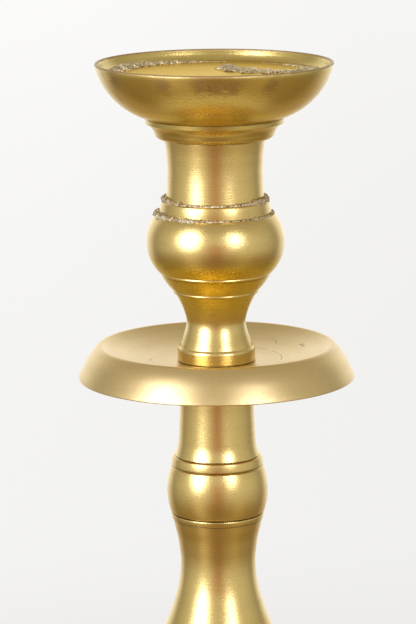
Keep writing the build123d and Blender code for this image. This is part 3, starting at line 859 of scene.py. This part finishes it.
def paper_white():
    """Matt white paper: lit near the candlestick; further off it glows, with painted light that is
    a little brighter further back and a little darker to the right.
    """
    material, tree, shader, output = new_material("paper_white")
    place = put(tree, "TexCoord").outputs["Object"]
    grain = put(tree, "TexNoise", {"Vector": place, "Scale": 5, "Detail": 3}).outputs[0]
    colour = blend_colour(tree, grain, (0.80, 0.795, 0.785, 1), (0.84, 0.835, 0.825, 1))
    tree.links.new(colour, shader.inputs["Base Color"])
    shader.inputs["Roughness"].default_value = 0.9
    axes = put(tree, "SeparateXYZ", {0: place}).outputs
    # Painted light: the glow below is made a little brighter further back and a little darker to
    # the right.
    far = ramp(tree, axes[1], 0.6, 6.0)
    across = ramp(tree, axes[0], -0.4, 0.4)
    shade = maths(tree, "MULTIPLY_ADD", far, 0.06, maths(tree, "MULTIPLY_ADD", across, -0.05, 1.01))
    tone = put(tree, "VectorMath", {0: PAPER[:3], 3: shade}, operation="SCALE").outputs[0]
    glow = put(tree, "Emission", {"Color": tone, "Strength": 1.0})
    reach = put(tree, "VectorMath", {0: place}, operation="LENGTH").outputs["Value"]
    share = ramp(tree, reach, 0.1, 1.1)
    share = maths(tree, "MULTIPLY_ADD", share, 0.6, 0.4)
    mixed = put(tree, "MixShader", {0: share, 1: shader.outputs[0], 2: glow.outputs[0]})
    tree.links.new(mixed.outputs[0], output.inputs["Surface"])
    return material


ground = bmesh.new()
bmesh.ops.create_circle(ground, cap_ends=True, segments=96, radius=PAPER_R)
bmesh.ops.translate(ground, verts=ground.verts, vec=(0, 0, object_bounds()[0].z - PAPER_GAP))
paper = finished("paper_floor", ground)
paper.data.materials.append(paper_white())
paper.visible_glossy = False


# The room's colours from straight in front, 0, round to straight behind, 1.
ROOM = (
    (0.0, (0.50, 0.26, 0.21)), (0.05, (0.53, 0.33, 0.27)), (0.115, (0.75, 0.71, 0.66)),
    (0.25, (0.72, 0.70, 0.66)), (0.42, (0.69, 0.68, 0.65)), (0.58, (0.52, 0.51, 0.48)),
    (0.68, (0.30, 0.285, 0.25)), (0.76, (0.95, 0.94, 0.92)), (0.90, (1.30, 1.30, 1.29)),
)
CEILING = (0.46, 0.42, 0.36, 1)
TABLE_TINT = (0.486, 0.35, 0.18, 1)
TABLE = (0.33, 0.24, 0.11, 1)
STRAIGHT_DOWN = (0.70, 0.58, 0.38, 1)
# Brighter patches on the table: bearing in radians, and the light that each adds.
TABLE_GLOWS = ((-0.78, (0.32, 0.28, 0.24, 1)), (0.92, (0.13, 0.12, 0.07, 1)))


def studio_world():
    """White paper behind, a dim room in front, darker below; the camera sees paper white."""
    world = bpy.data.worlds.new("studio")
    bpy.context.scene.world = world
    world.use_nodes = True
    tree = world.node_tree
    tree.nodes.clear()
    place = put(tree, "SeparateXYZ", {0: put(tree, "TexCoord").outputs["Generated"]}).outputs
    bearing = maths(tree, "ARCTAN2", place[0], maths(tree, "MULTIPLY", place[1], -1))
    turn = maths(tree, "DIVIDE", maths(tree, "ABSOLUTE", bearing), math.pi)
    # The dark strip behind the camera ends a little above the horizon.
    lintel = maths(tree, "MULTIPLY", ramp(tree, place[2], 0.02, 0.28), 0.13)
    around = put(tree, "ValToRGB", {0: maths(tree, "MAXIMUM", turn, lintel)})
    ends = around.color_ramp.elements
    while len(ends) < len(ROOM):
        ends.new(0.5)
    for element, (position, colour) in zip(ends, ROOM):
        element.position = position
        element.color = (*colour, 1)
    up = ramp(tree, place[2], 0.15, 0.75)
    down = ramp(tree, place[2], -0.10, -0.60)
    under = ramp(tree, place[2], -0.80, -0.95)
    shown = blend_colour(tree, up, around.outputs[0], CEILING)
    low = put(tree, "Mix", {0: down, 6: shown, 7: TABLE_TINT}, data_type="RGBA",
              blend_type="MULTIPLY")
    shown = blend_colour(tree, maths(tree, "MULTIPLY", down, 0.5), low.outputs[2], TABLE)
    near_floor = maths(tree, "MULTIPLY", ramp(tree, place[2], -0.12, -0.36),
                       ramp(tree, place[2], -0.90, -0.62))
    for middle, glow in TABLE_GLOWS:
        off = maths(tree, "ABSOLUTE", maths(tree, "SUBTRACT", bearing, middle))
        share = maths(tree, "MULTIPLY", ramp(tree, off, 0.42, 0.05), near_floor)
        added = put(tree, "Mix", {0: share, 6: shown, 7: glow}, data_type="RGBA", blend_type="ADD")
        shown = added.outputs[2]
    shown = blend_colour(tree, under, shown, STRAIGHT_DOWN)
    room = put(tree, "Background", {"Color": shown, "Strength": 1.0})
    seen = put(tree, "Background", {"Color": PAPER, "Strength": 1.0})
    camera_ray = put(tree, "LightPath").outputs["Is Camera Ray"]
    mixed = put(tree, "MixShader", {0: camera_ray, 1: room.outputs[0], 2: seen.outputs[0]})
    put(tree, "OutputWorld", {"Surface": mixed.outputs[0]})


studio_world()


BOX_AWAY = 1.5
BOX_RADIANCE = 5.0
BOX_COLOUR = (0.93, 0.98, 1.32)
GLOBE_BELOW_RIM = 0.085


def soft_box(name, bearing, lift, width, height):
    """A soft box aimed at the globe; bearing is degrees right of the camera, lift degrees up."""
    data = bpy.data.lights.new(name, "AREA")
    data.shape = "ELLIPSE"
    data.size, data.size_y = width, height
    data.energy = BOX_RADIANCE * math.pi * math.pi / 4 * width * height
    data.color = BOX_COLOUR
    lamp = bpy.data.objects.new(name, data)
    bpy.context.scene.collection.objects.link(lamp)
    turn, rise = math.radians(bearing), math.radians(lift)
    level = math.cos(rise)
    away = Vector((math.sin(turn) * level, -math.cos(turn) * level, math.sin(rise)))
    lamp.location = Vector((0, 0, RIM_Z - GLOBE_BELOW_RIM)) + away * BOX_AWAY
    lamp.rotation_mode = "QUATERNION"
    lamp.rotation_quaternion = away.to_track_quat("Z", "Y")
    lamp.visible_camera = False


soft_box("soft_box_left", -46, 17, 0.95, 1.25)
soft_box("soft_box_right", 33, 19, 0.56, 0.86)

# Camera --------------------------------------------------------------------------------------
# A long lens a little above the cup, tilted down; the lower part of the candlestick is out of
# the picture.

CAMERA_ASIDE = -0.0037
CAMERA_BACK = 1.4335
CAMERA_ABOVE_RIM = 0.16665
CAMERA_DOWN = 11.1
CAMERA_ROLL = -0.5
FOCAL_LENGTH, FRAME_SIDE = 184.6, 36
lens = bpy.data.cameras.new("long_lens")
lens.lens = FOCAL_LENGTH
lens.sensor_width = FRAME_SIDE
lens.clip_start, lens.clip_end = 0.1, 60
camera = bpy.data.objects.new("long_lens", lens)
bpy.context.scene.collection.objects.link(camera)
tilt = Matrix.Rotation(math.radians(90 - CAMERA_DOWN), 4, "X")
roll = Matrix.Rotation(math.radians(CAMERA_ROLL), 4, "Z")
place = Matrix.Translation((CAMERA_ASIDE, -CAMERA_BACK, RIM_Z + CAMERA_ABOVE_RIM))
camera.matrix_world = place @ tilt @ roll
bpy.context.scene.camera = camera
bpy.context.scene.view_settings.view_transform = "Standard"
